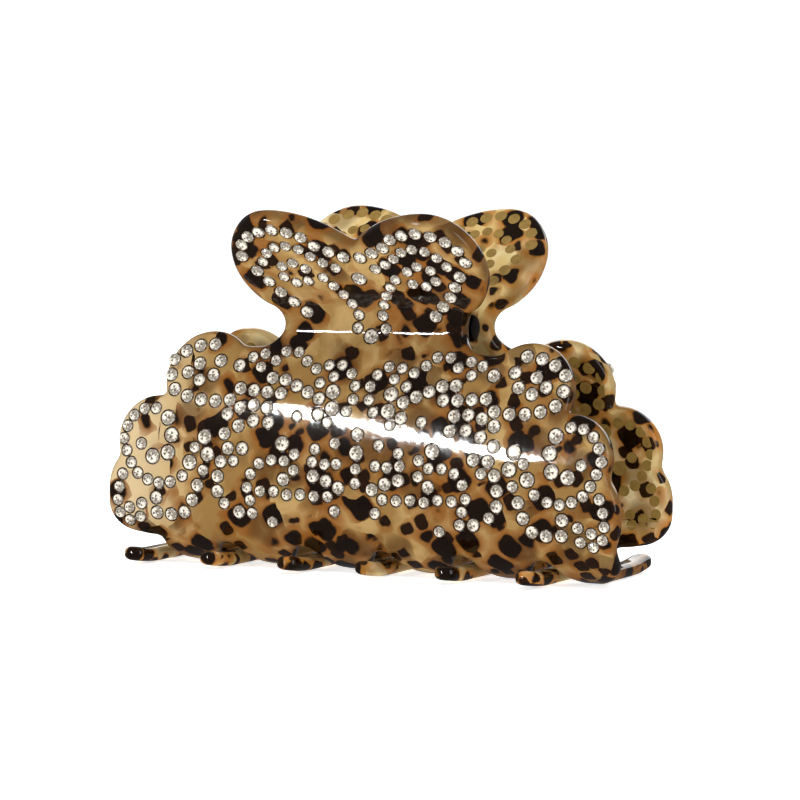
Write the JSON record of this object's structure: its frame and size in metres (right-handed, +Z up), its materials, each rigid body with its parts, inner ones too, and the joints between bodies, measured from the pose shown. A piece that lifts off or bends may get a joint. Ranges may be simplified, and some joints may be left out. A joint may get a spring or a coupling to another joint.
{
  "type": "claw clip",
  "caption": "Large acetate hair claw clip: scalloped jaws with interleaving curved teeth, finger wings, a spring-loaded pin hinge and crystal-set faces.",
  "frame": {"origin": "centre of the clip's footprint, on the plane that the undersides of the teeth stand on", "axes": "+X along the hinge pin, -Y towards the front jaw, +Z up towards the finger wings"},
  "size_m": [0.091, 0.0426, 0.059],
  "materials": {
    "front_acetate": "polished",
    "rear_acetate": "polished",
    "lug_acetate": "polished",
    "pin_steel": "plated",
    "spring_steel": "drawn wire",
    "sleeve_plastic": "moulded",
    "crystal": "cut and foiled"
  },
  "bodies": {
    "front_half": {"front_jaw": "front_acetate", "front_lug_left": "lug_acetate", "front_lug_right": "lug_acetate", "hinge_pin": "pin_steel", "pin_cap_left": "pin_steel", "pin_cap_right": "pin_steel", "spring_sleeve": "sleeve_plastic", "torsion_spring": "spring_steel", "front_crystals_small": "crystal", "front_crystals_medium": "crystal", "front_crystals_large": "crystal"},
    "rear_half": {"rear_jaw": "rear_acetate", "rear_lug_left": "lug_acetate", "rear_lug_right": "lug_acetate", "spring_rear_leg": "spring_steel", "rear_crystals_small": "crystal", "rear_crystals_medium": "crystal", "rear_crystals_large": "crystal"}
  },
  "joints": [
    {"name": "jaw_hinge", "type": "hinge", "parent": "front_half", "child": "rear_half", "pos_m": [0, 0, 0.04], "axis": [1, 0, 0], "range_deg": [0, 70], "stiffness_Nm_per_rad": 0.15, "springref_deg": -40.11}
  ]
}
